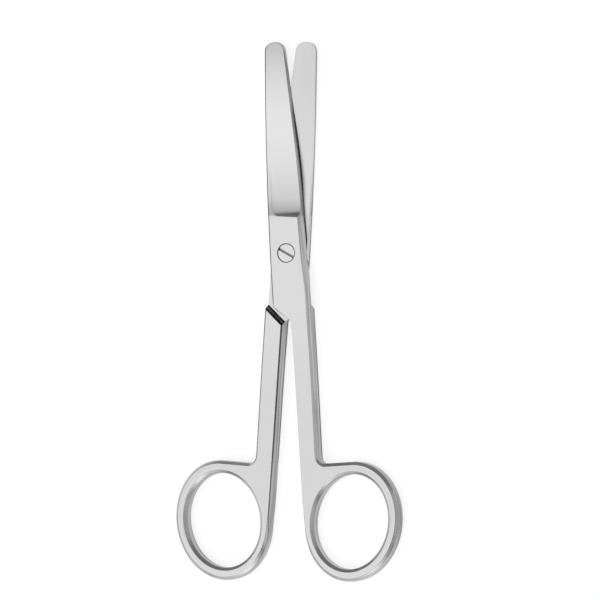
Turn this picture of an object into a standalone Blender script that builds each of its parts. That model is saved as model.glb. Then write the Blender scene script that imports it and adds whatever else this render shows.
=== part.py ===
# Blunt operating scissors, straight, with two rounded tips.
# Two forged halves cross at a lap joint, and one slotted screw holds them.
# Metres, +Z up. The scissors lie flat with their tips towards +Y, partly open.
# The origin is on the pivot axis, on the flat underside of the joint.
#
# Each half is drawn in its closed position, as seen from its outer face: blade up,
# cutting edge and shank to the right, finger ring at the bottom. Its height 0 is
# the middle of the joint, where the two halves lie on each other. The lower half
# is the same forging, turned over about the Y axis.

import math

import bmesh
import bpy
from mathutils import Vector

mm = 0.001

# Reach from the pivot, and how far each half is turned from closed
tip_reach = 57.0 * mm
ring_reach = 73.2 * mm
half_opening = math.radians(4.0)

# Joint
joint_thickness = 5.2 * mm
joint_spine_width = 4.95 * mm
lap_end_y = -14.35 * mm
lap_end_slant = math.radians(39.0)
lap_end_radius = 1.1 * mm
lap_root_radius = 0.6 * mm
shoulder_lean = math.radians(24.0)

# Running clearances
lap_gap = 0.05 * mm
bore_gap = 0.05 * mm
head_gap = 0.16 * mm
shoulder_gap = 0.2 * mm
closed_gap = 0.2 * mm

# Shank
shank_width = 5.25 * mm
shank_end_width = 5.05 * mm
shank_waist_y = -32.0 * mm
shank_thickness = 4.3 * mm
shank_taper_start = 14.0 * mm
shank_taper_end = 34.0 * mm
crotch_radius = 2.3 * mm
shank_curve_radius = 200.0 * mm

# Finger ring: an oval with its top leaning outwards, and an oval hole nearer the shank
ring_length = 32.4 * mm
ring_breadth = 27.6 * mm
ring_lean = math.radians(15.4)
hole_length = 25.6 * mm
hole_breadth = 21.6 * mm
hole_offset = 0.3 * mm
limb_thickness = 4.0 * mm
limb_crest = 1.2 * mm
limb_bevel_height = 0.76 * mm
web_flat_angle = math.radians(28.0)
web_blend_angle = math.radians(105.0)
bevel_start_angle = math.radians(6.0)
bevel_full_angle = math.radians(40.0)

# Blade outline
spine_mid_x = 4.4 * mm
spine_mid_y = 33.0 * mm
spine_tip_x = 3.3 * mm
edge_mid_x = 4.6 * mm
edge_mid_y = 24.0 * mm
edge_tip_x = 2.2 * mm
blade_curve_radius = 400.0 * mm
joint_curve_radius = 60.0 * mm
tip_radius = 2.7 * mm

# Ground outer face of the blade, with its hollow run-out at the joint
spine_tip_height = 1.4 * mm
grind_start_y = 13.05 * mm
grind_runout_radius = 7.0 * mm
grind_runout_angle = math.radians(40.0)
grind_base_depth = 0.5 * mm
grind_tip_depth = 0.12 * mm
grind_base_margin = 1.3 * mm
grind_tip_margin = 0.75 * mm
grind_wall_radius = 2.8 * mm
grind_wall_angle = math.radians(50.0)
edge_base_height = 1.45 * mm
edge_tip_height = 1.1 * mm

# Cutting bevel, as inset for each unit of height, and the hollow inner face
bevel_slope = 0.27
bevel_start_y = -12.0 * mm
hollow_depth = 0.35 * mm
hollow_border = 0.6 * mm
hollow_start_y = 8.0 * mm
hollow_full_y = 22.0 * mm

# Edge breaks of the forging, from its outline inwards
face_edge_break = 0.8 * mm
back_edge_break = 0.55 * mm
cutting_edge_break = 0.4 * mm
edge_break_power = 5

# Screw
head_diameter = 4.95 * mm
head_height = 1.5 * mm
head_recess = 0.05 * mm
neck_diameter = 3.4 * mm
thread_diameter = 3.0 * mm
screw_chamfer = 0.12 * mm
slot_width = 0.68 * mm
slot_depth = 0.75 * mm
slot_angle = math.radians(-27.4)

# Fineness of the mesh
run_length = 4.0 * mm
arc_step = math.radians(15.0)
ring_step = math.radians(8.0)
round_points = 48
levels = (-1.0, -0.85, -0.65, 0.0, 0.65, 0.85, 1.0)
cutter_reach = 9.0 * mm
cutter_height = 5.0 * mm

# Places that follow from the sizes
half_joint = joint_thickness / 2
lap_height = lap_gap / 2
half_shank = shank_thickness / 2
half_limb = (ring_breadth - hole_breadth) / 4
inner_x = closed_gap / 2
outer_x = inner_x + shank_width
ring_half_across = math.hypot(ring_breadth / 2 * math.cos(ring_lean), ring_length / 2 * math.sin(ring_lean))
ring_half_along = math.hypot(ring_length / 2 * math.cos(ring_lean), ring_breadth / 2 * math.sin(ring_lean))
ring_centre = Vector((inner_x + ring_half_across, -ring_reach))
hole_centre = ring_centre - Vector((hole_offset, 0))
crotch = Vector((inner_x + shank_end_width, ring_centre.y + ring_half_along))
spine_line = ((0.0, -joint_spine_width), (spine_mid_y, -spine_mid_x), (tip_reach, -spine_tip_x))
edge_line = ((0.0, outer_x), (edge_mid_y, edge_mid_x), (tip_reach, edge_tip_x))


def mix(first, second, share):
    return first + (second - first) * share


def smooth(value, start, end):
    # 0 before start, 1 after end, and an even S curve between them
    share = min(max((value - start) / (end - start), 0.0), 1.0)
    return share * share * (3 - 2 * share)


def across_at(y, line):
    # Where a side of the blade lies across X, at a place along Y
    for (start, first), (end, second) in zip(line, line[1:]):
        if y <= end:
            return mix(first, second, (y - start) / (end - start))
    return line[-1][1]


# Outline of a half

def oval_arc(centre, length, breadth, start, end):
    # Part of an oval whose long axis leans by ring_lean
    steps = math.ceil(abs(end - start) / ring_step)
    arc = []
    for step in range(steps + 1):
        turn = mix(start, end, step / steps)
        across = breadth / 2 * math.cos(turn)
        along = length / 2 * math.sin(turn)
        arc.append(centre + Vector((across * math.cos(ring_lean) + along * math.sin(ring_lean),
                                    along * math.cos(ring_lean) - across * math.sin(ring_lean))))
    return arc


def ring_outside():
    # From the side that touches the shank's inner line, round to the highest point
    side = math.atan2(ring_length * math.sin(ring_lean), ring_breadth * math.cos(ring_lean)) - math.pi
    top = math.atan2(ring_length * math.cos(ring_lean), -ring_breadth * math.sin(ring_lean))
    return oval_arc(ring_centre, ring_length, ring_breadth, side, top)


def rounded(before, corner, after, radius):
    # The arc that rounds a corner, no longer than half of the shorter side
    if radius == 0:
        return [corner]
    back = before - corner
    ahead = after - corner
    half_angle = back.angle(ahead) / 2
    length = min(radius / math.tan(half_angle), back.length / 2, ahead.length / 2)
    start = corner + back.normalized() * length
    end = corner + ahead.normalized() * length
    middle = (back.normalized() + ahead.normalized()).normalized()
    centre = corner + middle * length / math.cos(half_angle)
    turn = math.pi - 2 * half_angle
    if back.x * ahead.y - back.y * ahead.x > 0:
        turn = -turn
    steps = max(2, math.ceil(abs(turn) / arc_step))
    arc = []
    for step in range(steps + 1):
        angle = turn * step / steps
        arm = start - centre
        arc.append(centre + Vector((arm.x * math.cos(angle) - arm.y * math.sin(angle),
                                    arm.x * math.sin(angle) + arm.y * math.cos(angle))))
    arc[-1] = end
    return arc


def spaced(points):
    # The same closed line, with no run longer than run_length
    result = []
    for point, following in zip(points, points[1:] + points[:1]):
        parts = max(1, math.ceil((following - point).length / run_length))
        result += [point.lerp(following, part / parts) for part in range(parts)]
    return result


def half_outline():
    # Counter-clockwise, from the cutting side of the tip
    lap_drop = (joint_spine_width + inner_x) * math.tan(lap_end_slant)
    corners = [
        (Vector((edge_tip_x, tip_reach)), tip_radius),
        (Vector((-spine_tip_x, tip_reach)), tip_radius),
        (Vector((-spine_mid_x, spine_mid_y)), blade_curve_radius),
        (Vector((-joint_spine_width, 0)), joint_curve_radius),
        (Vector((-joint_spine_width, lap_end_y)), lap_end_radius),
        (Vector((inner_x, lap_end_y - lap_drop)), lap_root_radius),
    ]
    corners += [(point, 0) for point in ring_outside()]
    corners += [
        (crotch, crotch_radius),
        (Vector((outer_x, shank_waist_y)), shank_curve_radius),
        (Vector((outer_x, 0)), joint_curve_radius),
        (Vector((edge_mid_x, edge_mid_y)), blade_curve_radius),
    ]
    points = []
    for number, (corner, radius) in enumerate(corners):
        before = corners[number - 1][0]
        after = corners[(number + 1) % len(corners)][0]
        points += rounded(before, corner, after, radius)
    return spaced(points)


def hole_outline():
    # Clockwise, so that the metal is on the left as it is along the outside
    points = oval_arc(hole_centre, hole_length, hole_breadth, 0, -2 * math.pi)
    return points[:-1]


# Section of a half: how high it stands, and how its sides draw in with height

def ring_turn(point):
    # How far round the ring a point lies from the crotch, either way
    return (point - ring_centre).angle(crotch - ring_centre)


def ring_share(point):
    # 0 on the blade, shank and flat web, 1 round the free part of the ring
    return smooth(ring_turn(point), web_flat_angle, web_blend_angle)


def bevel_share(point):
    # The limb's bevel starts at the crotch on the outside, and fades in along the web inside
    arm = point - ring_centre
    root = crotch - ring_centre
    if point.y > crotch.y or root.x * arm.y - root.y * arm.x > 0:
        return ring_share(point)
    return smooth(ring_turn(point), bevel_start_angle, bevel_full_angle)


def cutting_share(point):
    # 1 along the cutting edge and the side of the joint below it
    return smooth(point.y, bevel_start_y, 0.0) * smooth(point.x, -edge_tip_x / 2, edge_tip_x / 2)


def face_height(point):
    # From the middle of the joint up to the forging's outer face
    if point.y > grind_start_y:
        blade = (point.y - grind_start_y) / (tip_reach - grind_start_y)
        return mix(half_joint, spine_tip_height, blade)
    shank = smooth(-point.y, shank_taper_start, shank_taper_end)
    return mix(mix(half_joint, half_shank, shank), limb_thickness / 2, ring_share(point))


def back_height(point):
    return mix(half_shank, limb_thickness / 2, ring_share(point))


def side_inset(point, level, share):
    # The ring's limbs are bevelled from the crest to an upright side
    bevel_start = 1 - limb_bevel_height / (limb_thickness / 2)
    bevelled = (half_limb - limb_crest / 2) * max(abs(level) - bevel_start, 0.0) / (1 - bevel_start)
    edge_break = back_edge_break
    bevel = 0.0
    if level > 0:
        cutting = cutting_share(point)
        edge_break = mix(face_edge_break, cutting_edge_break, cutting)
        bevel = cutting * bevel_slope * level * face_height(point)
    flat_side = edge_break * abs(level) ** edge_break_power + bevel
    return mix(flat_side, bevelled, share)


def side_height(point, level):
    return level * (face_height(point) if level > 0 else back_height(point))


def inward(points, number):
    # Direction into the metal at a point of a closed line, lengthened at corners
    back = (points[number] - points[number - 1]).normalized()
    ahead = (points[(number + 1) % len(points)] - points[number]).normalized()
    along = (back + ahead).normalized()
    return Vector((-along.y, along.x)) / max(along.dot(ahead), 0.5)


# Mesh helpers

def add_object(name, mesh_data, material=None):
    mesh = bpy.data.meshes.new(name)
    bmesh.ops.recalc_face_normals(mesh_data, faces=mesh_data.faces)
    mesh_data.to_mesh(mesh)
    mesh_data.free()
    mesh.shade_smooth()
    mesh.set_sharp_from_angle(angle=math.radians(30))
    thing = bpy.data.objects.new(name, mesh)
    bpy.context.scene.collection.objects.link(thing)
    if material:
        mesh.materials.append(material)
    else:
        thing.hide_render = True
        thing.display_type = "WIRE"
    return thing


def add_walls(mesh_data, loops):
    for lower, upper in zip(loops, loops[1:]):
        for number in range(len(lower)):
            ahead = (number + 1) % len(lower)
            mesh_data.faces.new((lower[number], lower[ahead], upper[ahead], upper[number]))


def lofted(name, sections, material=None):
    # A closed solid through matching loops of points, with flat ends
    mesh_data = bmesh.new()
    loops = [[mesh_data.verts.new(point) for point in section] for section in sections]
    add_walls(mesh_data, loops)
    mesh_data.faces.new(loops[0])
    mesh_data.faces.new(loops[-1])
    return add_object(name, mesh_data, material)


def turned(name, profile, material=None):
    # A solid turned about Z from pairs of radius and height
    sections = []
    for radius, height in profile:
        turns = [2 * math.pi * step / round_points for step in range(round_points)]
        sections.append([(radius * math.cos(turn), radius * math.sin(turn), height) for turn in turns])
    return lofted(name, sections, material)


def cut(target, cutter):
    modifier = target.modifiers.new(cutter.name, "BOOLEAN")
    modifier.operation = "DIFFERENCE"
    modifier.solver = "EXACT"
    modifier.object = cutter
    cutter.parent = target


def steel(name, tone, roughness):
    material = bpy.data.materials.new(name)
    material.use_nodes = True
    shader = material.node_tree.nodes["Principled BSDF"]
    shader.inputs["Base Color"].default_value = (tone, tone, tone, 1.0)
    shader.inputs["Metallic"].default_value = 1.0
    shader.inputs["Roughness"].default_value = roughness
    return material


# The forging and its cuts

def forged_half(name, material):
    mesh_data = bmesh.new()
    for points, bevelled_all_round in ((half_outline(), False), (hole_outline(), True)):
        loops = []
        for level in levels:
            loop = []
            for number, point in enumerate(points):
                share = 1.0 if bevelled_all_round else bevel_share(point)
                place = point + inward(points, number) * side_inset(point, level, share)
                loop.append(mesh_data.verts.new((place.x, place.y, side_height(point, level))))
            loops.append(loop)
        add_walls(mesh_data, loops)
    for way in (-1, 1):
        rims = [edge for edge in mesh_data.edges if edge.is_boundary and edge.verts[0].co.z * way > 0]
        bmesh.ops.triangle_fill(mesh_data, use_beauty=True, edges=rims, normal=(0, 0, way))
    return add_object(name, mesh_data, material)


def shoulder_y(x):
    # The step that the other half's lap end comes up to, at the lap face
    other_end = lap_end_y - (joint_spine_width - x) * math.tan(lap_end_slant)
    return other_end - shoulder_gap / math.cos(lap_end_slant)


def lap_cutter(name):
    # Everything behind the lap face, from the leaning shoulder to past the tip.
    # Along the blade its front is crowned, which leaves the inner face hollow.
    columns = 7
    lean = math.tan(shoulder_lean) / math.cos(lap_end_slant)
    stations = [None, 0.0, hollow_start_y]
    stations += [mix(hollow_start_y, hollow_full_y, part / 3) for part in (1, 2, 3)]
    stations += [mix(hollow_full_y, tip_reach, part / 4) for part in (1, 2, 3, 4, 5)]
    sections = []
    for y in stations:
        place = y or 0.0
        left = across_at(place, spine_line) + hollow_border
        right = across_at(place, edge_line) - hollow_border
        depth = hollow_depth * smooth(place, hollow_start_y, hollow_full_y)
        section = [(-cutter_reach, lap_height)]
        for column in range(columns):
            share = column / (columns - 1)
            height = lap_height + depth * (1 - (2 * share - 1) ** 2)
            section.append((mix(left, right, share), height))
        section += [(cutter_reach, lap_height), (cutter_reach, -cutter_height), (-cutter_reach, -cutter_height)]
        if y is None:
            section = [(x, shoulder_y(x) - (lap_height - z) * lean, z) for x, z in section]
        else:
            section = [(x, y, z) for x, z in section]
        sections.append(section)
    return lofted(name, sections)


def grind_face(x, y):
    # Height of the ground outer face: full at the spine, low at the cutting edge
    blade = max(y - grind_start_y, 0.0) / (tip_reach - grind_start_y)
    at_spine = mix(half_joint, spine_tip_height, blade) - mix(grind_base_depth, grind_tip_depth, blade)
    at_edge = mix(edge_base_height, edge_tip_height, blade)
    spine = across_at(y, spine_line)
    edge = across_at(y, edge_line)
    return mix(at_spine, at_edge, (x - spine) / (edge - spine))


def grind_cutter(name):
    # What the grinding wheel takes off: it leaves a narrow margin along the spine,
    # and rises to it and to the joint's flat face in hollows that meet in a round corner
    stations = []
    for step in range(7):
        turn = grind_runout_angle * (1 - step / 6)
        rise = grind_runout_radius * (1 - math.cos(turn))
        stations.append((grind_start_y - grind_runout_radius * math.sin(turn), rise))
    stations += [(mix(grind_start_y, tip_reach, part / 6), 0.0) for part in (1, 2, 3, 4, 5, 6, 7)]
    sections = []
    for y, rise in stations:
        blade = max(y - grind_start_y, 0.0) / (tip_reach - grind_start_y)
        depth = mix(grind_base_depth, grind_tip_depth, blade)
        foot = across_at(y, spine_line) + mix(grind_base_margin, grind_tip_margin, blade)
        foot += math.sqrt(grind_wall_radius ** 2 - (grind_wall_radius - depth) ** 2)
        section = []
        for step in range(6):
            turn = grind_wall_angle * (1 - step / 5)
            x = foot - grind_wall_radius * math.sin(turn)
            section.append((x, y, grind_face(x, y) + rise + grind_wall_radius * (1 - math.cos(turn))))
        section.insert(0, (section[0][0], y, cutter_height))
        section.append((cutter_reach, y, grind_face(cutter_reach, y) + rise))
        section.append((cutter_reach, y, cutter_height))
        sections.append(section)
    return lofted(name, sections)


def make_half(name, material):
    half = forged_half(name, material)
    cut(half, lap_cutter(name + "_lap_cutter"))
    cut(half, grind_cutter(name + "_grind_cutter"))
    return half


def make_upper_half(material):
    half = make_half("upper_half", material)
    neck_bore = neck_diameter / 2 + bore_gap
    head_bore = head_diameter / 2 + head_gap
    seat = half_joint - head_recess - head_height - bore_gap
    profile = [(neck_bore, -cutter_height), (neck_bore, seat), (head_bore, seat), (head_bore, cutter_height)]
    cut(half, turned("head_seat_cutter", profile))
    half.location = (0, 0, half_joint)
    half.rotation_euler = (0, 0, half_opening)


def make_lower_half(material):
    half = make_half("lower_half", material)
    thread_bore = thread_diameter / 2 + bore_gap
    cut(half, turned("thread_bore_cutter", [(thread_bore, -cutter_height), (thread_bore, cutter_height)]))
    half.location = (0, 0, half_joint)
    half.rotation_euler = (0, math.pi, -half_opening)


def make_screw(material):
    thread = thread_diameter / 2
    neck = neck_diameter / 2
    head = head_diameter / 2
    head_top = half_joint - head_recess
    head_bottom = head_top - head_height
    neck_bottom = bore_gap - lap_height
    screw = turned("pivot_screw", [
        (thread - screw_chamfer, -half_joint),
        (thread, -half_joint + screw_chamfer),
        (thread, neck_bottom),
        (neck, neck_bottom),
        (neck, head_bottom),
        (head, head_bottom),
        (head, head_top - screw_chamfer),
        (head - screw_chamfer, head_top),
    ], material)
    slot_floor = head_top - slot_depth
    section = [(slot_width / 2, slot_floor), (slot_width / 2, cutter_height),
               (-slot_width / 2, cutter_height), (-slot_width / 2, slot_floor)]
    slot = lofted("slot_cutter", [[(end * head_diameter, y, z) for y, z in section] for end in (-1, 1)])
    slot.rotation_euler = (0, 0, slot_angle)
    cut(screw, slot)
    screw.location = (0, 0, half_joint)


def main():
    for thing in list(bpy.data.objects):
        bpy.data.objects.remove(thing, do_unlink=True)
    satin_steel = steel("satin_steel", 0.50, 0.30)
    bright_steel = steel("bright_steel", 0.56, 0.24)
    make_upper_half(satin_steel)
    make_lower_half(satin_steel)
    make_screw(bright_steel)


main()
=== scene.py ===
# Blunt operating scissors, lying part open on a pale studio floor
import math

import bmesh
import bpy
from mathutils import Matrix, Vector


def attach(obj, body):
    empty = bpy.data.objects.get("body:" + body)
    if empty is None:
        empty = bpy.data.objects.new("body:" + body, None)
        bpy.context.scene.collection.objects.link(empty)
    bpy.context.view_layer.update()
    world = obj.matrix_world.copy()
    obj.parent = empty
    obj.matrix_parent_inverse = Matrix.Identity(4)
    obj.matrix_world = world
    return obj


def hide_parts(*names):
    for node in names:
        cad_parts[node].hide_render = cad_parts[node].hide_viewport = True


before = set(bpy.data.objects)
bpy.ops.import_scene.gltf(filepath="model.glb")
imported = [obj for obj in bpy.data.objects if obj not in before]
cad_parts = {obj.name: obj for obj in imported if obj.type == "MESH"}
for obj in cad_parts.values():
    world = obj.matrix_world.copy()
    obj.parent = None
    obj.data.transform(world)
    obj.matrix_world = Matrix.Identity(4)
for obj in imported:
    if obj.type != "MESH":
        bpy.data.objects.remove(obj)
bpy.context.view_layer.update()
print("frame loaded:", sorted(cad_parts))

mm = 0.001


def mix(first, second, share):
    return first + (second - first) * share


def mixed(first, second, share):
    return [mix(one, other, share) for one, other in zip(first, second)]


def ease(value, start, end):
    share = min(max((value - start) / (end - start), 0.0), 1.0)
    return share * share * (3 - 2 * share)


def softRamp(past, soft):
    # 0 where past is negative and past itself above, with a soft corner between
    return (past + math.sqrt(past * past + soft * soft)) / 2


# Shader helpers: a socket that works in Python expressions, and one way to add a node

class Signal:
    def __init__(self, shade, socket):
        self.shade = shade
        self.socket = socket

    def maths(self, operation, first, second):
        return self.shade.node("ShaderNodeMath", {"operation": operation}, {0: first, 1: second})

    def __add__(self, other):
        return self.maths("ADD", self, other)

    __radd__ = __add__

    def __sub__(self, other):
        return self.maths("SUBTRACT", self, other)

    def __rsub__(self, other):
        return self.maths("SUBTRACT", other, self)

    def __mul__(self, other):
        return self.maths("MULTIPLY", self, other)

    __rmul__ = __mul__

    def axis(self, number):
        return self.shade.node("ShaderNodeSeparateXYZ", {}, {0: self}, output=number)


class Shade:
    def __init__(self, holder):
        holder.use_nodes = True
        self.tree = holder.node_tree

    def node(self, kind, settings=None, inputs=None, output=0):
        made = self.tree.nodes.new(kind)
        for name, value in (settings or {}).items():
            setattr(made, name, value)
        self.feed(made, inputs or {})
        return Signal(self, made.outputs[output])

    def feed(self, target, inputs):
        for name, value in inputs.items():
            if isinstance(value, Signal):
                self.tree.links.new(value.socket, target.inputs[name])
            else:
                target.inputs[name].default_value = value

    def within(self, value, zone):
        # 0 before the zone of that name, 1 after it, eased between
        start, end = toneZones[zone]
        return self.node("ShaderNodeMapRange", {"interpolation_type": "SMOOTHSTEP"},
                         {"Value": value, "From Min": start, "From Max": end})

    def vector(self, operation, values, output=0):
        return self.node("ShaderNodeVectorMath", {"operation": operation}, values, output)

    def stretched(self, place, scale):
        return self.node("ShaderNodeMapping", {}, {"Vector": place, "Scale": scale})

    def noise(self, place, kind):
        scale, detail, roughness = steelNoise[kind]
        return self.node("ShaderNodeTexNoise", {}, {
            "Vector": place, "Scale": scale, "Detail": detail, "Roughness": roughness})


# Finishes, with the painted highlights and painted shade of the halves and the screw

satinSteel = {
    "tone": 0.48,
    "roughness": 0.23,
    "roughnessSpread": 0.07,
    "toneSpread": 0.03,
    "grainStretch": (9000, 420, 9000),     # brushed along the shanks, in lines 0.1 mm apart
    "grainDepth": 0.0000012,
    "edgeRound": 0.00008,
    "streakStretch": (40, 40, 900),        # layers along every side wall, a millimetre apart
    "streakTone": 0.45,
    # Painted shade on the upright sides, and painted highlights on some of them
    "sidePaintedShade": 0.075,
    "spinePaintedHighlight": 0.24,                   # painted highlight on the lower half's back
    "bladeSidePaintedHighlight": 0.10,
    # darker towards the finger rings
    "handleFall": 0.055,
    "ringLines": 0.34,
    "ringLineCount": 75,
    "ringLineDrift": 30,
    # Painted shade: a contact shadow along the foot of the sides, and a shadow line in the gap
    # between the halves
    "footPaintedShadow": 0.7,
    "gapPaintedShadow": 0.75,
    # Painted shade on the shoulder, with a painted highlight line along it
    "shoulderPaintedShade": 0.6,
    "shoulderPaintedHighlight": 1.5,
}

screwSteel = {
    "tone": 0.49,
    "roughness": 0.20,
    "roughnessSpread": 0.08,
    "toneSpread": 0.03,
    "grainStretch": (5000, 5000, 5000),
    "grainDepth": 0.0000012,
    "edgeRound": 0.00005,
    "slotPaintedShade": 0.62,                      # painted shade in the slot
}

# Painted highlight and shade on the blade: brightest half way along the ground face, darker at its
# run-out and towards the tip of the inner face, in metres ahead of the screw and shares of the tone
paintedBladeLight = {
    "brightest": 0.0335,
    "reach": 0.0415,
    "gain": 0.09,
    "fall": 1.12,
    "innerFall": 0.09,
    "runoutFall": 0.16,
}

# The scale, detail and roughness of each noise
steelNoise = {
    "cloud": (260.0, 4.0, 0.55),
    "speck": (5200.0, 2.0, 0.5),
    "grain": (1.0, 3.0, 0.6),
    "lines": (1.0, 2.0, 0.6),
}

# How much of the brushed grain there is in each look, beside the clouds or the specks
grainShare = {
    "roughness": 0.5,
    "tone": 0.4,
    "relief": 0.85,
}

# Where each tone starts to change and where it is complete, in metres unless noted otherwise
toneZones = {
    "right": (0.0, 0.001),                 # across: right of the screw
    "blade": (0.0095, 0.0105),             # ahead: from here to the tips
    "runout": (0.0150, 0.0110),
    "innerFace": (0.015, 0.055),
    "aheadOfShoulder": (-0.0145, -0.0125),
    "behindLap": (-0.0125, -0.0135),
    "aheadOfShank": (-0.024, -0.022),
    "aheadOfRing": (-0.058, -0.054),
    "fromScrew": (-0.004, -0.002),
    "belowCrossing": (0.044, 0.040),
    "handle": (-0.016, -0.040),
    "shankTaper": (-0.014, -0.034),
    "lowerHalf": (0.0026, 0.0025),         # height above the floor
    "upperHalf": (0.0026, 0.00262),
    # Heights of the painted shadow line in the gap between the halves
    "gapShadowLine": (0.0031, 0.0029),
    "foot": (0.0012, 0.0008),
    # Heights of the painted highlight line on the shoulder
    "shoulderHighlightLow": (0.0032, 0.0034),
    "shoulderHighlightHigh": (0.0039, 0.0037),
    "slot": (0.00015, 0.0005),             # depth below the screw's head
    "offLap": (2.5e-7, 8e-7),              # squared distance from the lap face
    "sideways": (0.1, 0.35),               # squared share of the normal
    "facingTips": (0.5, 0.6),              # share of the normal
    "limbTop": (0.02, 0.15),               # squared share of the normal
    "limbOut": (1.01, 1.15),               # share of the ring's outer size
    "limbRound": (0.95, 0.55),             # cosine of the turn from the crotch
}


def bladePaintedSheen(shade, place):
    # Painted highlight half way along the ground face, painted shade at its run-out, and painted
    # shade towards the tip on the inner face
    ahead = place.axis(1)
    fromLap = place.axis(2) - halfJoint * mm
    outer = shade.within(fromLap * fromLap, "offLap")
    bow = (ahead - paintedBladeLight["brightest"]) * (1 / paintedBladeLight["reach"])
    sheen = paintedBladeLight["gain"] - bow * bow * paintedBladeLight["fall"]
    sheen = sheen - shade.within(ahead, "runout") * paintedBladeLight["runoutFall"]
    dull = shade.within(ahead, "innerFace") * paintedBladeLight["innerFall"]
    return shade.within(ahead, "blade") * (outer * sheen - (1 - outer) * dull)


def sideLinesAndPaintedLight(shade, place):
    # The upright sides: layered grain lines, a painted highlight on the lower half's back and on
    # the blades, and painted shade on every side, so the shanks stay darker
    across, ahead, height = [place.axis(number) for number in range(3)]
    layered = shade.stretched(place, satinSteel["streakStretch"])
    streak = shade.noise(layered, "lines")
    spine = shade.within(across, "right") * shade.within(height, "lowerHalf")
    spine = spine * shade.within(ahead, "aheadOfShoulder")
    lines = (streak - 0.5) * satinSteel["streakTone"] * 2
    bright = spine * satinSteel["spinePaintedHighlight"]
    bright = bright + shade.within(ahead, "blade") * satinSteel["bladeSidePaintedHighlight"]
    return lines + bright - satinSteel["sidePaintedShade"]


def paintedFootAndGapShade(shade, place, normal):
    # Painted shade low on the sides: a contact shadow along the foot of the blade, joint and
    # shanks, which lies higher where the half is thinner, and a painted shadow line in the gap over
    # the cutting edge
    across, ahead, height = [place.axis(number) for number in range(3)]
    thinning = (halfJoint - grind["spineTip"]) / (forging["tipReach"] - grind["start"])
    pastStart = ahead.maths("MAXIMUM", ahead - grind["start"] * mm, 0.0)
    shankRise = (halfJoint - forging["shankThickness"] / 2) * mm
    rise = pastStart * thinning + shade.within(ahead, "shankTaper") * shankRise
    turned = normal.axis(0)
    foot = shade.within(height - rise, "foot") * shade.within(turned * turned, "sideways")
    foot = foot * shade.within(ahead, "aheadOfRing")
    gap = shade.within(height, "upperHalf") * shade.within(height, "gapShadowLine")
    gap = gap * shade.within(ahead, "fromScrew") * shade.within(ahead, "belowCrossing")
    gap = gap * shade.within(across, "right")
    return foot * satinSteel["footPaintedShadow"] + gap * satinSteel["gapPaintedShadow"]


def shoulderPaintedLight(shade, place, normal):
    # Painted shade on the slanted shoulder behind the lap, with a painted highlight line along it
    ahead, height = [place.axis(number) for number in (1, 2)]
    zone = shade.within(normal.axis(1), "facingTips") * shade.within(ahead, "behindLap")
    zone = zone * shade.within(ahead, "aheadOfShank")
    line = shade.within(height, "shoulderHighlightLow") * shade.within(height, "shoulderHighlightHigh")
    return zone * (satinSteel["shoulderPaintedShade"] - line * satinSteel["shoulderPaintedHighlight"])


def ringPlace(shade, place):
    # How far out a place lies in its finger ring, 0.78 at the hole and 1 round the outside, and
    # the cosine of its turn from the crotch. Both rings are folded onto one, then stood upright
    turn = math.radians(fingerRing["lean"] - forging["halfOpening"])
    shift = Matrix.Rotation(lean, 2) @ -ringCentre * mm
    root = (Matrix.Rotation(lean, 2) @ (crotch - ringCentre)).normalized()
    toOval = (2 / fingerRing["breadth"] / mm, 2 / fingerRing["length"] / mm, 0)
    folded = shade.vector("ABSOLUTE", {0: place})
    local = shade.node("ShaderNodeMapping", {}, {
        "Vector": folded, "Location": (shift.x, shift.y, 0), "Rotation": (0, 0, turn),
        "Scale": (1, -1, 0)})
    reach = shade.vector("LENGTH", {0: shade.vector("MULTIPLY", {0: local, 1: toOval})}, output=1)
    arm = shade.vector("NORMALIZE", {0: local})
    cosine = shade.vector("DOT_PRODUCT", {0: arm, 1: (root.x, root.y, 0)}, output=1)
    return reach, cosine


def ringTone(shade, place, facing):
    # Fine lines round the tops of the finger rings' limbs, and the slow fall in tone to them
    reach, cosine = ringPlace(shade, place)
    slow = shade.stretched(place, (satinSteel["ringLineDrift"],) * 3)
    outwards = shade.node("ShaderNodeCombineXYZ", {}, {0: reach * satinSteel["ringLineCount"]})
    lines = shade.noise(shade.vector("ADD", {0: slow, 1: outwards}), "lines")
    limb = (1 - shade.within(reach, "limbOut")) * shade.within(cosine, "limbRound")
    limb = limb * shade.within(facing * facing, "limbTop")
    handle = shade.within(place.axis(1), "handle") * satinSteel["handleFall"]
    return (lines - 0.5) * limb * satinSteel["ringLines"] * 2 - handle


def halfMarksAndPaintedLight(shade, place, normal, tone):
    # Grain lines on the sides and rings, with painted highlights and painted shade on the blades,
    # sides, feet, gap between the halves and shoulder, and darker towards the rings, over the even
    # tone of the steel
    facing = normal.axis(2)
    upright = 1 - facing * facing
    tone = tone + sideLinesAndPaintedLight(shade, place) * upright
    tone = tone * (1 + bladePaintedSheen(shade, place)) * (1 + ringTone(shade, place, facing))
    tone = tone * (1 - paintedFootAndGapShade(shade, place, normal) * upright)
    return tone * (1 - shoulderPaintedLight(shade, place, normal))


def slotPaintedShadeTone(shade, place, normal, tone):
    # Painted shade in the screw's slot, darker deeper down
    depth = forging["jointThickness"] * mm - place.axis(2)
    return tone * (1 - screwSteel["slotPaintedShade"] * shade.within(depth, "slot"))


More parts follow.
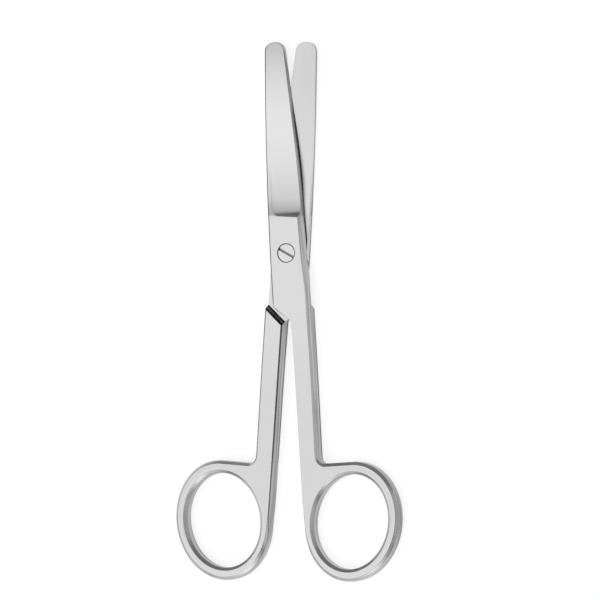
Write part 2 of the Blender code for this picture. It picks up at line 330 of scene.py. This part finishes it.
def makeSteel(name, finish, marksAndPaintedLight):
    material = bpy.data.materials.new(name)
    shade = Shade(material)
    place = shade.node("ShaderNodeTexCoord", output=3)
    normal = shade.node("ShaderNodeTexCoord", output=1)
    grain = shade.noise(shade.stretched(place, finish["grainStretch"]), "grain")
    cloud = shade.noise(place, "cloud")
    speck = shade.noise(place, "speck")
    uneven = mix(cloud, grain, grainShare["roughness"]) - 0.5
    roughness = finish["roughness"] + uneven * finish["roughnessSpread"] * 2
    cloudy = mix(cloud, grain, grainShare["tone"]) - 0.5
    tone = finish["tone"] + cloudy * finish["toneSpread"]
    # Grain lines, painted highlights and painted shade over the even tone
    tone = marksAndPaintedLight(shade, place, normal, tone)
    rounded = shade.node("ShaderNodeBevel", {"samples": 6}, {"Radius": finish["edgeRound"]})
    relief = shade.node("ShaderNodeBump", {}, {
        "Strength": 1.0, "Distance": finish["grainDepth"], "Normal": rounded,
        "Height": mix(speck, grain, grainShare["relief"])})
    colour = shade.node("ShaderNodeCombineColor", {}, {0: tone, 1: tone, 2: tone})
    shade.feed(shade.tree.nodes["Principled BSDF"], {
        "Base Color": colour, "Metallic": 1.0, "Roughness": roughness, "Normal": relief})
    return material


# Mesh helpers. The pieces are drawn in millimetres and scaled when they are placed

farSide = 9.0       # across, past the part, where cutters end
farHeight = 5.0     # the same above and below
sameSpot = 0.0001   # points closer than this are one
levelFace = 0.99    # a face whose normal stands up more than this is level
evenWeight = 80     # how strongly broad faces set the normals


def showMesh(name, mesh, material=None):
    bmesh.ops.recalc_face_normals(mesh, faces=mesh.faces[:])
    data = bpy.data.meshes.new(name)
    mesh.to_mesh(data)
    mesh.free()
    if material:
        data.materials.append(material)
    thing = bpy.data.objects.new(name, data)
    bpy.context.scene.collection.objects.link(thing)
    return thing


def finishedMesh(thing):
    shown = thing.evaluated_get(bpy.context.evaluated_depsgraph_get())
    return bpy.data.meshes.new_from_object(shown)


def cutAway(target, cutters):
    # Cut with each solid in turn, keep the result as the target's own mesh, clear the cutters away
    for cutter in cutters:
        modifier = target.modifiers.new(cutter.name, "BOOLEAN")
        modifier.operation = "DIFFERENCE"
        modifier.solver = "EXACT"
        modifier.object = cutter
    data = finishedMesh(target)
    target.modifiers.clear()
    target.data = data
    for cutter in cutters:
        bpy.data.objects.remove(cutter)


def placePiece(thing, matrix, sharpFrom, body, node):
    # Into place in the mesh itself, then even normals on the broad faces
    thing.data.transform(Matrix.Scale(mm, 4) @ Matrix.Translation((0, 0, halfJoint)) @ matrix)
    thing.data.shade_smooth()
    thing.data.set_sharp_from_angle(angle=math.radians(sharpFrom))
    even = thing.modifiers.new("evenNormals", "WEIGHTED_NORMAL")
    even.keep_sharp = True
    even.weight = evenWeight
    thing.data = finishedMesh(thing)
    thing.modifiers.clear()
    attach(thing, body)
    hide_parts(node)
    print("placed:", thing.name, len(thing.data.polygons), "faces")


def drawnWire(mesh, points):
    corners = [mesh.verts.new(point) for point in points]
    return [mesh.edges.new(pair) for pair in zip(corners, corners[1:] + corners[:1])]


def inOrder(wire):
    # The points of a closed wire, one after the other
    edge = wire[0]
    here = edge.verts[0]
    path = []
    while not path or here is not path[0]:
        path.append(here)
        here = edge.other_vert(here)
        edge = next(link for link in here.link_edges if link is not edge)
    return path


def turnsLeft(path):
    area = 0.0
    for first, second in zip(path, path[1:] + path[:1]):
        area += first.co.x * second.co.y - second.co.x * first.co.y
    return area > 0


def pulled(mesh, wire, stations):
    # Pull a closed wire through the stations: each gives one place for each point of the wire
    rail = mesh.verts.layers.int.get("rail") or mesh.verts.layers.int.new("rail")
    path = inOrder(wire)
    for number, vertex in enumerate(path):
        vertex[rail] = number
    for count, station in enumerate(stations):
        if count:
            grown = bmesh.ops.extrude_edge_only(mesh, edges=wire)["geom"]
            path = [part for part in grown if isinstance(part, bmesh.types.BMVert)]
            wire = [part for part in grown if isinstance(part, bmesh.types.BMEdge)]
        for vertex in path:
            vertex.co = station[vertex[rail]]
    return wire


def solidThrough(name, stations):
    mesh = bmesh.new()
    first = drawnWire(mesh, stations[0])
    last = pulled(mesh, first, stations)
    for rim in (first, last):
        bmesh.ops.contextual_create(mesh, geom=rim)
    return showMesh(name, mesh)


# The two halves: one forging, made twice. Drawn closed, seen from its outer face, with the
# cutting edge and shank on the right. Height 0 is where the halves lie on each other

forging = {
    "tipReach": 57.0,
    "ringReach": 73.2,
    "halfOpening": 4.0,
    "jointThickness": 5.2,
    "jointSpine": 4.95,
    "lapEnd": -14.35,
    "lapSlant": 39.0,
    "lapEndRadius": 1.1,
    "lapRootRadius": 0.6,
    "shoulderLean": 24.0,
    "lapGap": 0.05,
    "shoulderGap": 0.2,
    "closedGap": 0.2,
    "shankWidth": 5.25,
    "shankEndWidth": 5.05,
    "shankWaist": -32.0,
    "shankThickness": 4.3,
    "taperStart": 14.0,
    "taperEnd": 34.0,
    "taperStep": 0.5,
    "crotchRadius": 2.3,
    "waistRadius": 200.0,
    "jointRadius": 60.0,
    "bladeRadius": 400.0,
    "spineMid": (-4.4, 33.0),
    "spineTip": 3.3,
    "edgeMid": (4.6, 24.0),
    "edgeTip": 2.2,
    "tipRadius": 2.7,
    "arcStep": 5.0,                         # degrees, at most, in a rounded corner
    "fewestSteps": 5,
    "longestSide": 2.0,                     # straight runs of the outline are cut up to this
    "mitreLimit": 0.5,
    "bevelSlope": 0.27,
    "bevelStart": -12.0,
    "sharpFrom": 18.0,                      # degrees
}

# Under the cutting side, beside the screw, the lap face is cut back: a dark line parts the halves
lapRim = {
    "height": 0.5,
    "depth": 0.9,
    "start": (-3.0, -1.0),
    "end": (8.0, 12.0),
    "across": (0.0, 3.0),
    "fullness": 4,                          # the higher, the squarer the groove
}

# Edge chamfers: how far in, and how far down
edgeBreaks = {
    "shankOuter": (0.55, 0.52),
    "shankInner": (0.15, 0.30),
    "bladeSpine": (0.42, 0.18),
    "cuttingSide": (0.50, 0.52),
    "backInner": (0.30, 0.52),
    "backOuter": (0.42, 0.18),
    "soft": 0.25,
    "across": (1.0, 4.0),                   # from the inner ones to the outer ones
    "behind": (12.0, 18.0),                 # from the blade's to the shank's
}

fingerRing = {
    "length": 32.4,
    "breadth": 27.6,
    "lean": 15.4,
    "holeLength": 25.6,
    "holeBreadth": 21.6,
    "holeOffset": 0.3,
    "thickness": 4.0,
    "crest": 1.2,
    "bevelHeight": 0.76,
    "bevelRound": 0.12,
    "webFlat": 28.0,                        # degrees round from the crotch
    "webBlend": 105.0,
    "bevelFull": 6.0,
    "points": 200,
}

grind = {
    "start": 13.05,
    "runoutRadius": 7.0,
    "runoutAngle": 40.0,
    "baseDepth": 0.5,
    "tipDepth": 0.12,
    "baseMargin": 1.3,
    "tipMargin": 0.75,
    "wallRadius": 2.8,
    "wallAngle": 50.0,
    "spineTip": 1.4,
    "edgeBase": 1.45,
    "edgeTip": 1.1,
    "pastTip": 4.0,
    "runoutSteps": 20,
    "bladeSteps": 40,
    "wallSteps": 12,
}

hollow = {
    "depth": 0.35,
    "border": 0.6,
    "start": 8.0,
    "full": 22.0,
    "pastTip": 3.0,
    "bladeSteps": 30,
    "columns": 12,
}

# The wall of a half is drawn at these shares of its height, from the back to the outer face
levels = [-1, -0.93, -0.86, -0.81, -0.77, -0.72, -0.65, -0.58, -0.3, 0, 0.05, 0.1, 0.14, 0.165,
          0.18, 0.195, 0.3, 0.58, 0.65, 0.72, 0.77, 0.81, 0.86, 0.93, 1]

halfJoint = forging["jointThickness"] / 2
halfRing = Vector((fingerRing["breadth"], fingerRing["length"])) / 2
lean = math.radians(fingerRing["lean"])
ringAcross = math.hypot(halfRing.x * math.cos(lean), halfRing.y * math.sin(lean))
ringAlong = math.hypot(halfRing.y * math.cos(lean), halfRing.x * math.sin(lean))
innerX = forging["closedGap"] / 2
outerX = innerX + forging["shankWidth"]
ringCentre = Vector((innerX + ringAcross, -forging["ringReach"]))
holeCentre = ringCentre - Vector((fingerRing["holeOffset"], 0))
crotch = Vector((innerX + forging["shankEndWidth"], ringCentre.y + ringAlong))
spineLine = [(0.0, -forging["jointSpine"]), forging["spineMid"][::-1],
             (forging["tipReach"], -forging["spineTip"])]
edgeLine = [(0.0, outerX), forging["edgeMid"][::-1], (forging["tipReach"], forging["edgeTip"])]


def acrossAt(y, line):
    # How far across a line of the blade lies at y
    for (start, first), (end, second) in zip(line, line[1:]):
        if y <= end:
            return mix(first, second, (y - start) / (end - start))
    return line[-1][1]


def alongBlade(y):
    # 0 where the ground face starts, 1 at the tip
    return max(y - grind["start"], 0.0) / (forging["tipReach"] - grind["start"])


def drawOval(mesh, length, breadth, centre):
    oval = bmesh.ops.create_circle(mesh, cap_ends=False, radius=0.5,
                                   segments=fingerRing["points"])["verts"]
    place = Matrix.Translation((centre.x, centre.y, 0)) @ Matrix.Rotation(-lean, 4, "Z")
    bmesh.ops.transform(mesh, matrix=place @ Matrix.Diagonal((breadth, length, 1, 1)), verts=oval)
    return oval


def drawHole(mesh):
    oval = drawOval(mesh, fingerRing["holeLength"], fingerRing["holeBreadth"], holeCentre)
    return list({edge for vertex in oval for edge in vertex.link_edges})


def roundCorner(mesh, vertex, radius, before, after):
    # An arc of that radius, which takes up no more than half of either side
    back = before - vertex.co
    ahead = after - vertex.co
    halfAngle = back.angle(ahead) / 2
    reach = min(radius / math.tan(halfAngle), back.length / 2, ahead.length / 2)
    turn = math.degrees(math.pi - 2 * halfAngle)
    steps = max(forging["fewestSteps"], math.ceil(turn / forging["arcStep"]))
    bmesh.ops.bevel(mesh, geom=[vertex], offset=reach, offset_type="OFFSET", segments=steps,
                    profile=0.5, affect="VERTICES", material=-1)


def drawOutline(mesh):
    # The finger ring's oval, opened where the shank runs into it, and joined to the other corners
    oval = drawOval(mesh, fingerRing["length"], fingerRing["breadth"], ringCentre)
    top = max(oval, key=lambda vertex: vertex.co.y)
    side = min(oval, key=lambda vertex: vertex.co.x)
    covered = [vertex for vertex in oval if vertex.co.x < top.co.x and vertex.co.y > side.co.y]
    covered = [vertex for vertex in covered if vertex not in (top, side)]
    bmesh.ops.delete(mesh, geom=covered, context="VERTS")
    spine = -forging["jointSpine"]
    drop = (innerX - spine) * math.tan(math.radians(forging["lapSlant"]))
    corners = [
        (crotch.x, crotch.y, forging["crotchRadius"]),
        (outerX, forging["shankWaist"], forging["waistRadius"]),
        (outerX, 0, forging["jointRadius"]),
        (*forging["edgeMid"], forging["bladeRadius"]),
        (forging["edgeTip"], forging["tipReach"], forging["tipRadius"]),
        (-forging["spineTip"], forging["tipReach"], forging["tipRadius"]),
        (*forging["spineMid"], forging["bladeRadius"]),
        (spine, 0, forging["jointRadius"]),
        (spine, forging["lapEnd"], forging["lapEndRadius"]),
        (innerX, forging["lapEnd"] - drop, forging["lapRootRadius"]),
    ]
    chain = [top] + [mesh.verts.new((x, y, 0)) for x, y, radius in corners] + [side]
    for pair in zip(chain, chain[1:]):
        mesh.edges.new(pair)
    places = [vertex.co.copy() for vertex in chain]
    for number, (x, y, radius) in enumerate(corners, 1):
        roundCorner(mesh, chain[number], radius, places[number - 1], places[number + 1])
    for edge in mesh.edges[:]:
        cuts = math.ceil(edge.calc_length() / forging["longestSide"]) - 1
        if cuts > 0:
            bmesh.ops.subdivide_edges(mesh, edges=[edge], cuts=cuts)
    return mesh.edges[:]


def ringTurn(point):
    # How far round the ring a point lies from the crotch, in degrees either way
    return math.degrees((point - ringCentre).angle(crotch - ringCentre))


def ringShare(point):
    # 0 on the blade, shank and flat web, 1 round the free part of the ring
    return ease(ringTurn(point), fingerRing["webFlat"], fingerRing["webBlend"])


def bevelShare(point):
    # The limb's bevel starts in the crotch on the outside, and fades in along the web inside
    arm = point - ringCentre
    root = crotch - ringCentre
    if root.x * arm.y - root.y * arm.x > 0:
        return ringShare(point)
    fromShank = 1 - ease(point.y, crotch.y, crotch.y + forging["crotchRadius"])
    return ease(ringTurn(point), 0.0, fingerRing["bevelFull"]) * fromShank


def faceHeight(point):
    if point.y > grind["start"]:
        return mix(halfJoint, grind["spineTip"], alongBlade(point.y))
    shank = ease(-point.y, forging["taperStart"], forging["taperEnd"])
    straight = mix(halfJoint, forging["shankThickness"] / 2, shank)
    return mix(straight, fingerRing["thickness"] / 2, ringShare(point))


def backHeight(point):
    return mix(forging["shankThickness"] / 2, fingerRing["thickness"] / 2, ringShare(point))


def edgeBreak(point, level):
    # The chamfer at a point of the outline, on the outer face or on the back
    outer = ease(point.x, *edgeBreaks["across"])
    shank = ease(-point.y, *edgeBreaks["behind"])
    if level > 0:
        inner = mixed(edgeBreaks["bladeSpine"], edgeBreaks["shankInner"], shank)
        side = mixed(edgeBreaks["cuttingSide"], edgeBreaks["shankOuter"], shank)
    else:
        inner = edgeBreaks["backInner"]
        side = edgeBreaks["backOuter"]
    return mixed(inner, side, outer)


def limbInset(level):
    # The ring's limbs are bevelled from the crest to an upright side
    width = (fingerRing["breadth"] - fingerRing["holeBreadth"]) / 4 - fingerRing["crest"] / 2
    height = fingerRing["bevelHeight"] / (fingerRing["thickness"] / 2)
    return width * softRamp((abs(level) - 1 + height) / height, fingerRing["bevelRound"])


def sideInset(point, level, share):
    # How far inside the outline the wall stands, with its share of the limb's bevel
    inset = 0.0
    height = level * faceHeight(point)
    if 0 <= height < lapRim["height"]:
        rim = ease(point.y, *lapRim["start"]) * (1 - ease(point.y, *lapRim["end"]))
        rim *= ease(point.x, *lapRim["across"])
        inset = rim * lapRim["depth"] * (1 - (height / lapRim["height"]) ** lapRim["fullness"])
    if level > 0:
        cutting = ease(point.y, forging["bevelStart"], 0.0)
        cutting *= ease(point.x, -forging["edgeTip"] / 2, forging["edgeTip"] / 2)
        inset += cutting * forging["bevelSlope"] * height
    breakIn, breakDown = edgeBreak(point, level)
    below = faceHeight(point) - abs(height)
    inset += breakIn * softRamp(1 - below / breakDown, edgeBreaks["soft"])
    return mix(inset, limbInset(level), share)


def wallStations(points, isHole):
    # Where the side wall stands at each level, round a closed line with the metal on its left
    stations = []
    for level in levels:
        station = []
        for number, point in enumerate(points):
            back = (point - points[number - 1]).normalized()
            ahead = (points[(number + 1) % len(points)] - point).normalized()
            along = (back + ahead).normalized()
            inward = Vector((-along.y, along.x)) / max(along.dot(ahead), forging["mitreLimit"])
            place = point + inward * sideInset(point, level, 1 if isHole else bevelShare(point))
            height = level * (faceHeight(point) if level > 0 else backHeight(point))
            station.append((place.x, place.y, height))
        stations.append(station)
    return stations


def bendFace(mesh):
    # Cut the outer face across where the blade starts and in steps down the shank's taper, and
    # lower the cuts to the height of the half there
    steps = round((forging["taperEnd"] - forging["taperStart"]) / forging["taperStep"])
    places = [-forging["taperStart"] - forging["taperStep"] * step for step in range(steps + 1)]
    for y in [grind["start"]] + places:
        cut = bmesh.ops.bisect_plane(mesh, geom=mesh.verts[:] + mesh.edges[:] + mesh.faces[:],
                                     dist=sameSpot, plane_co=(0, y, 0), plane_no=(0, 1, 0))
        for vertex in cut["geom_cut"]:
            if isinstance(vertex, bmesh.types.BMVert) and vertex.co.z > fingerRing["thickness"] / 2:
                if any(face.normal.z > levelFace for face in vertex.link_faces):
                    vertex.co.z = faceHeight(vertex.co.xy)


def makeForging(name, material):
    mesh = bmesh.new()
    for draw, metalInside in ((drawOutline, True), (drawHole, False)):
        start = bmesh.new()
        path = inOrder(draw(start))
        if turnsLeft(path) != metalInside:
            path.reverse()
        points = [vertex.co.xy for vertex in path]
        wire = drawnWire(mesh, [(point.x, point.y, 0) for point in points])
        pulled(mesh, wire, wallStations(points, not metalInside))
        start.free()
    for way in (-1, 1):
        rims = [edge for edge in mesh.edges if edge.is_boundary and edge.verts[0].co.z * way > 0]
        bmesh.ops.triangle_fill(mesh, use_beauty=True, edges=rims, normal=(0, 0, way))
    bendFace(mesh)
    return showMesh(name, mesh, material)


def lapSection(y):
    # The lap cutter across the blade at y, in pairs across and up: crowned, for the hollow
    lapHeight = forging["lapGap"] / 2
    left = acrossAt(y, spineLine) + hollow["border"]
    right = acrossAt(y, edgeLine) - hollow["border"]
    depth = hollow["depth"] * ease(y, hollow["start"], hollow["full"])
    section = [(-farSide, lapHeight)]
    for column in range(hollow["columns"] + 1):
        share = column / hollow["columns"]
        crown = depth * (1 - (2 * share - 1) ** 2)
        section.append((mix(left, right, share), lapHeight + crown))
    return section + [(farSide, lapHeight), (farSide, -farHeight), (-farSide, -farHeight)]


def lapCutter(name):
    # Everything behind the lap face, from the slanted and leaning shoulder to past the tip
    slant = math.tan(math.radians(forging["lapSlant"]))
    across = math.cos(math.radians(forging["lapSlant"]))
    leanOut = math.tan(math.radians(forging["shoulderLean"])) / across
    foot = forging["lapEnd"] - forging["jointSpine"] * slant - forging["shoulderGap"] / across
    lapHeight = forging["lapGap"] / 2
    sections = [[(x, foot + x * slant - (lapHeight - z) * leanOut, z) for x, z in lapSection(0.0)]]
    rows = [0.0]
    for step in range(hollow["bladeSteps"] + 1):
        end = forging["tipReach"] + hollow["pastTip"]
        rows.append(mix(hollow["start"], end, step / hollow["bladeSteps"]))
    sections += [[(x, y, z) for x, z in lapSection(y)] for y in rows]
    return solidThrough(name, sections)


def grindDepth(y):
    return mix(grind["baseDepth"], grind["tipDepth"], alongBlade(y))


def grindHeight(x, y):
    # The ground face, which falls from the spine to the cutting edge
    atSpine = mix(halfJoint, grind["spineTip"], alongBlade(y)) - grindDepth(y)
    atEdge = mix(grind["edgeBase"], grind["edgeTip"], alongBlade(y))
    spine = acrossAt(y, spineLine)
    return mix(atSpine, atEdge, (x - spine) / (acrossAt(y, edgeLine) - spine))


def grindSection(y, rise):
    # What the wheel takes off at y: a hollow wall at the margin along the spine, then the face
    radius = grind["wallRadius"]
    foot = acrossAt(y, spineLine) + mix(grind["baseMargin"], grind["tipMargin"], alongBlade(y))
    foot += math.sqrt(radius ** 2 - (radius - grindDepth(y)) ** 2)
    section = []
    for step in range(grind["wallSteps"] + 1):
        turn = math.radians(grind["wallAngle"]) * (1 - step / grind["wallSteps"])
        x = foot - radius * math.sin(turn)
        section.append((x, y, grindHeight(x, y) + rise + radius * (1 - math.cos(turn))))
    section.insert(0, (section[0][0], y, farHeight))
    return section + [(farSide, y, grindHeight(farSide, y) + rise), (farSide, y, farHeight)]


def grindCutter(name):
    # The ground face rises to the joint in a round run-out, which meets the wall in a round corner
    sections = []
    for step in range(grind["runoutSteps"] + 1):
        turn = math.radians(grind["runoutAngle"]) * (1 - step / grind["runoutSteps"])
        y = grind["start"] - grind["runoutRadius"] * math.sin(turn)
        sections.append(grindSection(y, grind["runoutRadius"] * (1 - math.cos(turn))))
    for step in range(1, grind["bladeSteps"] + 1):
        end = forging["tipReach"] + grind["pastTip"]
        sections.append(grindSection(mix(grind["start"], end, step / grind["bladeSteps"]), 0.0))
    return solidThrough(name, sections)


# The screw: slotted flat head, neck, and end flush with the underside

screw = {
    "headDiameter": 4.95,
    "headHeight": 1.5,
    "headRecess": 0.05,
    "neckDiameter": 3.4,
    "threadDiameter": 3.0,
    "chamfer": 0.12,
    "softened": 0.03,
    "slotWidth": 0.68,
    "slotDepth": 0.75,
    "slotAngle": -27.4,
    "slotCutter": 2.0,                      # its height
    "boreGap": 0.05,
    "headGap": 0.16,
    "points": 128,
    "sharpFrom": 28.0,                      # degrees
}

headTop = halfJoint - screw["headRecess"]
headSeat = headTop - screw["headHeight"]


def turnedSolid(name, profile, material=None, softened=0):
    # Radius and height pairs, from the bottom of the axis to its top, spun about Z
    mesh = bmesh.new()
    points = [mesh.verts.new((radius, 0, height)) for radius, height in profile]
    for pair in zip(points, points[1:]):
        mesh.edges.new(pair)
    for point in points[1:-1] if softened else []:
        bmesh.ops.bevel(mesh, geom=[point], offset=softened, offset_type="OFFSET", segments=3,
                        profile=0.5, affect="VERTICES", material=-1)
    bmesh.ops.spin(mesh, geom=mesh.verts[:] + mesh.edges[:], cent=(0, 0, 0), axis=(0, 0, 1),
                   angle=2 * math.pi, steps=screw["points"], use_merge=True)
    bmesh.ops.remove_doubles(mesh, verts=mesh.verts[:], dist=sameSpot)
    return showMesh(name, mesh, material)


def boreCutter(name, steps):
    # A round cutter from pairs of radius and height, open to both sides of the part
    bottom = (steps[0][0], -farHeight)
    top = (steps[-1][0], farHeight)
    return turnedSolid(name, [(0, -farHeight), bottom] + steps[1:-1] + [top, (0, farHeight)])


def makeScrew(material):
    head = screw["headDiameter"] / 2
    neck = screw["neckDiameter"] / 2
    thread = screw["threadDiameter"] / 2
    chamfer = screw["chamfer"]
    neckEnd = screw["boreGap"] - forging["lapGap"] / 2
    thing = turnedSolid("pivotScrewFinish", [
        (0, -halfJoint), (thread - chamfer, -halfJoint), (thread, -halfJoint + chamfer),
        (thread, neckEnd), (neck, neckEnd), (neck, headSeat), (head, headSeat),
        (head, headTop - chamfer), (head - chamfer, headTop), (0, headTop)],
        material, screw["softened"])
    mesh = bmesh.new()
    bmesh.ops.create_cube(mesh, size=1)
    place = Matrix.Rotation(math.radians(screw["slotAngle"]), 4, "Z")
    slotFloor = headTop - screw["slotDepth"]
    place @= Matrix.Translation((0, 0, slotFloor + screw["slotCutter"] / 2))
    size = (screw["headDiameter"] * 2, screw["slotWidth"], screw["slotCutter"], 1)
    place @= Matrix.Diagonal(size)
    bmesh.ops.transform(mesh, matrix=place, verts=mesh.verts[:])
    cutAway(thing, [showMesh("slotCutter", mesh)])
    return thing


satin = makeSteel("satinSteel", satinSteel, halfMarksAndPaintedLight)
bright = makeSteel("screwSteel", screwSteel, slotPaintedShadeTone)
opened = math.radians(forging["halfOpening"])

upper = makeForging("upperHalfFinish", satin)
headBore = screw["headDiameter"] / 2 + screw["headGap"]
neckBore = screw["neckDiameter"] / 2 + screw["boreGap"]
seatHeight = headSeat - screw["boreGap"]
seatCutter = boreCutter("headSeat", [
    (neckBore, -farHeight), (neckBore, seatHeight), (headBore, seatHeight), (headBore, farHeight)])
cutAway(upper, [lapCutter("upperLap"), grindCutter("upperGrind"), seatCutter])
turned = Matrix.Rotation(opened, 4, "Z")
placePiece(upper, turned, forging["sharpFrom"], "upper", "upper_half")

lower = makeForging("lowerHalfFinish", satin)
threadBore = screw["threadDiameter"] / 2 + screw["boreGap"]
threadCutter = boreCutter("threadBore", [(threadBore, -farHeight), (threadBore, farHeight)])
cutAway(lower, [lapCutter("lowerLap"), grindCutter("lowerGrind"), threadCutter])
turnedOver = Matrix.Rotation(-opened, 4, "Z") @ Matrix.Rotation(math.pi, 4, "Y")
placePiece(lower, turnedOver, forging["sharpFrom"], "lower", "lower_half")

pivot = makeScrew(bright)
placePiece(pivot, Matrix(), screw["sharpFrom"], "lower", "pivot_screw")


# Studio: pale floor, a broad soft box overhead, softer ones in front and at the right, the camera

studio = {
    "floorSize": 6.0,
    "floorTone": 0.32,
    "floorLift": 0.64,                      # how much the floor glows in the steel
    "backdropLift": 0.72,                   # and seen by the camera
    "worldTone": 0.33,
    "lamps": {
        "overhead": {"place": (-0.35, -1.5, 1.3), "aim": (-0.35, -1.5, 0.0),
                     "size": (3.7, 5.0), "watts": 67.8},
        "front": {"place": (0.0, -1.8, 0.4), "aim": (0.0, 0.0, 0.0),
                  "size": (3.0, 0.8), "watts": 5.0},
        "side": {"place": (2.35, 0.0, 0.86), "aim": (0.0, 0.0, 0.0),
                 "size": (3.0, 1.15), "watts": 6.6},
    },
}

view = {
    "imageSize": 600,
    "pivotPixel": (290.1, 253.0),
    "millimetresPerPixel": 0.269,
    "aside": 24.8,                          # degrees to the right of straight above
    "roll": 0.22,
    "distance": 3.0,
    "farthest": 50.0,
    "sensor": 36.0,
}


def makeFloor():
    mesh = bmesh.new()
    bmesh.ops.create_grid(mesh, x_segments=1, y_segments=1, size=studio["floorSize"])
    thing = showMesh("studioFloor", mesh)
    material = bpy.data.materials.new("paleFloor")
    shade = Shade(material)
    seen, inGloss, through = [shade.node("ShaderNodeLightPath", output=ray) for ray in (
        "Is Camera Ray", "Is Glossy Ray", "Is Transmission Ray")]
    lift = seen * studio["backdropLift"] + (inGloss + through) * studio["floorLift"]
    glow = shade.node("ShaderNodeCombineColor", {}, {0: lift, 1: lift, 2: lift})
    tone = studio["floorTone"]
    shade.feed(shade.tree.nodes["Principled BSDF"], {
        "Base Color": (tone, tone, tone, 1), "Roughness": 0.9, "Specular IOR Level": 0.0,
        "Emission Color": glow, "Emission Strength": 1.0})
    thing.data.materials.append(material)


def makeLamp(name, lamp):
    data = bpy.data.lights.new(name, "AREA")
    data.shape = "RECTANGLE"
    data.size, data.size_y = lamp["size"]
    data.energy = lamp["watts"]
    place = Vector(lamp["place"])
    thing = bpy.data.objects.new(name, data)
    thing.location = place
    thing.rotation_mode = "QUATERNION"
    thing.rotation_quaternion = (Vector(lamp["aim"]) - place).to_track_quat("-Z", "Y")
    bpy.context.scene.collection.objects.link(thing)


def makeCamera():
    # Far off and long, so that the screw falls on its pixel and a millimetre has its size
    aside = math.radians(view["aside"])
    roll = math.radians(view["roll"])
    towards = Vector((math.sin(aside), 0, math.cos(aside)))
    across = Vector((math.cos(aside), 0, -math.sin(aside)))
    along = Vector((0, 1, 0))
    up = along * math.cos(roll) - across * math.sin(roll)
    right = across * math.cos(roll) + along * math.sin(roll)
    scale = view["millimetresPerPixel"] * mm
    column, row = view["pivotPixel"]
    middle = view["imageSize"] / 2
    centre = Vector((0, 0, halfJoint * mm))
    centre += right * (middle - column) * scale + up * (row - middle) * scale
    data = bpy.data.cameras.new("studioCamera")
    data.sensor_width = view["sensor"]
    data.lens = view["sensor"] * view["distance"] / (view["imageSize"] * scale)
    data.clip_end = view["farthest"]
    thing = bpy.data.objects.new("studioCamera", data)
    bpy.context.scene.collection.objects.link(thing)
    turn = Matrix((right, up, towards)).transposed()
    thing.matrix_world = Matrix.Translation(centre + towards * view["distance"]) @ turn.to_4x4()
    bpy.context.scene.camera = thing


def makeWorld():
    world = bpy.data.worlds.new("studioWorld")
    bpy.context.scene.world = world
    shade = Shade(world)
    tone = studio["worldTone"]
    background = shade.tree.nodes["Background"]
    shade.feed(background, {"Color": (tone, tone, tone, 1), "Strength": 1.0})


makeFloor()
for name, lamp in studio["lamps"].items():
    makeLamp(name, lamp)
makeCamera()
makeWorld()
bpy.context.scene.view_settings.view_transform = "Standard"
print("studio ready")
